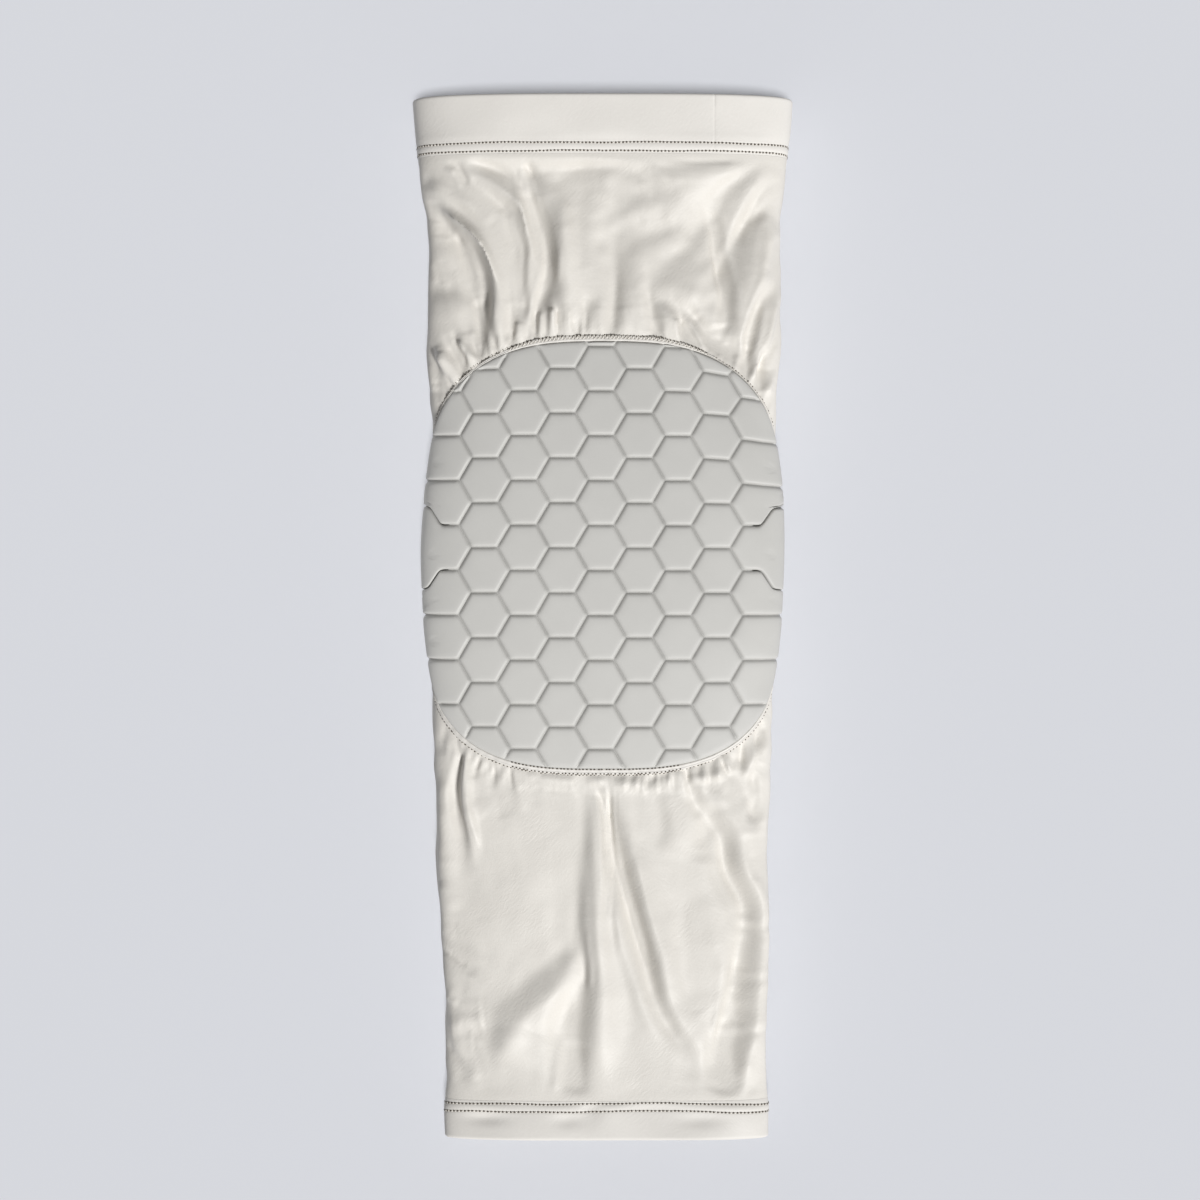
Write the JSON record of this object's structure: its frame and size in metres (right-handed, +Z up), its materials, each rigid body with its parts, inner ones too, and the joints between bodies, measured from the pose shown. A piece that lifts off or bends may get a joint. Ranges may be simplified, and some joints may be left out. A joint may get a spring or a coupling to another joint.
{
  "type": "padded sliding sleeve",
  "caption": "Off-white stretch sleeve, open at both ends, with hemmed rims and a light grey foam pad of hexagon cells sewn into its front, lying on its back.",
  "frame": {"origin": "middle of the underside, on the surface that the sleeve lies on", "axes": "+Y along the sleeve towards its wide end, +Z up out of the padded front, +X across the sleeve"},
  "size_m": [0.1358, 0.3716, 0.0395],
  "materials": {
    "stretch_fabric": "fine smooth knit with a soft sheen",
    "hem_fabric": "the same knit, turned double and stitched",
    "pad_foam": "moulded foam with a fine matt skin",
    "seam_thread": "overlocked thread over the fabric edge"
  },
  "bodies": {
    "root": {"sleeve_body": "stretch_fabric", "top_band": "hem_fabric", "bottom_band": "hem_fabric", "hex_pad": "pad_foam", "pad_binding": "seam_thread"}
  },
  "joints": []
}
